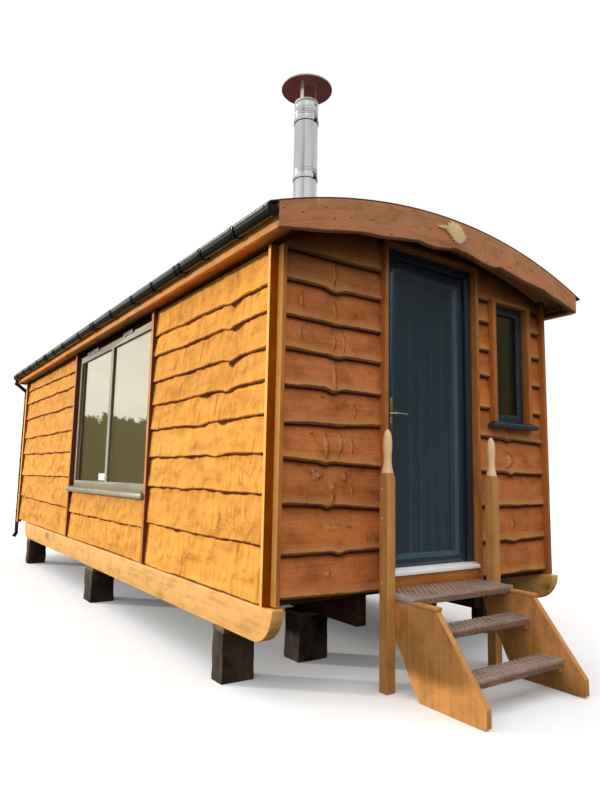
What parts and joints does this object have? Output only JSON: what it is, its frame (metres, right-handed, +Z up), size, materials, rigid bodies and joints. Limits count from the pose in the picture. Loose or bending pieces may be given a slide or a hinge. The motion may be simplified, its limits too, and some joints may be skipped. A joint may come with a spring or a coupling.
{
  "type": "shepherd's hut on skids",
  "caption": "Long timber hut on skids and sleeper piers: lapped waney-edge boards, bowed roof, flue, glazed side, door that opens and a stair of three treads.",
  "frame": {"origin": "on the ground, at the middle of the whole part's outline seen from above", "axes": "+Y runs from the door end to the rear end, +X to the right of a person facing the door, +Z up"},
  "size_m": [2.9646, 7.994, 4.2343],
  "materials": {
    "pier_timber": "rough, dark",
    "skid_timber": "oiled softwood",
    "floor_timber": "red-brown stain",
    "floor_boarding": "satin boards",
    "lining": "plain boards",
    "cladding": "oiled waney-edge boards",
    "side_cladding": "oiled waney-edge boards",
    "batten_timber": "oiled softwood",
    "bargeboard_timber": "oiled softwood",
    "step_timber": "oiled softwood",
    "tread_timber": "weathered, under wire mesh",
    "roof_sheet": "matt dark grey",
    "rainwater": "gloss black",
    "joinery_paint": "satin anthracite",
    "side_frame_paint": "satin grey",
    "threshold_metal": "mill finish",
    "door_furniture": "satin",
    "flue_steel": "polished stainless",
    "glazing": "clear",
    "leaf_ply": "pale, unfinished"
  },
  "bodies": {
    "hut": {"sleeper_piers": "pier_timber", "pier_packings": "pier_timber", "side_skids": "skid_timber", "inner_bearers": "skid_timber", "floor_joists": "floor_timber", "floor_deck": "floor_timber", "floor_boards": "floor_boarding", "front_wall_left": "lining", "front_wall_right": "lining", "front_wall_over_door": "lining", "left_wall": "lining", "right_wall": "lining", "rear_wall": "lining", "roof_deck": "lining", "roof_covering": "roof_sheet", "front_bargeboard": "bargeboard_timber", "rear_bargeboard": "bargeboard_timber", "fascias": "batten_timber", "soffits": "batten_timber", "gutters": "rainwater", "gutter_brackets": "rainwater", "downpipes": "rainwater", "front_cladding": "cladding", "left_cladding": "side_cladding", "right_cladding": "side_cladding", "rear_cladding": "cladding", "corner_battens": "batten_timber", "door_battens": "batten_timber", "window_battens": "batten_timber", "window_sills": "side_frame_paint", "door_frame": "joinery_paint", "threshold": "threshold_metal", "frame_hinges": "door_furniture", "side_window_frame": "side_frame_paint", "front_window_frame": "joinery_paint", "window_glass": "glazing", "flue_pipe": "flue_steel", "flue_bands": "flue_steel", "flue_cowl": "flue_steel", "flue_flashing": "rainwater", "leaf_ornament": "leaf_ply", "stair_stringers": "step_timber", "stair_treads": "tread_timber", "newel_posts": "step_timber"},
    "door": {"door_leaf": "joinery_paint", "door_hinges": "door_furniture", "handle_plates": "door_furniture"},
    "lever": {"lever_handle": "door_furniture"}
  },
  "joints": [
    {"name": "door_hinge", "type": "hinge", "parent": "hut", "child": "door", "pos_m": [0.37, -3.094, 1.6775], "axis": [0, 0, -1], "range_deg": [0, 90]},
    {"name": "lever_turn", "type": "hinge", "parent": "door", "child": "lever", "pos_m": [-0.356, -3.13, 1.634], "axis": [0, 1, 0], "range_deg": [0, 40], "stiffness_Nm_per_rad": 1.5, "springref_deg": -28.65}
  ]
}
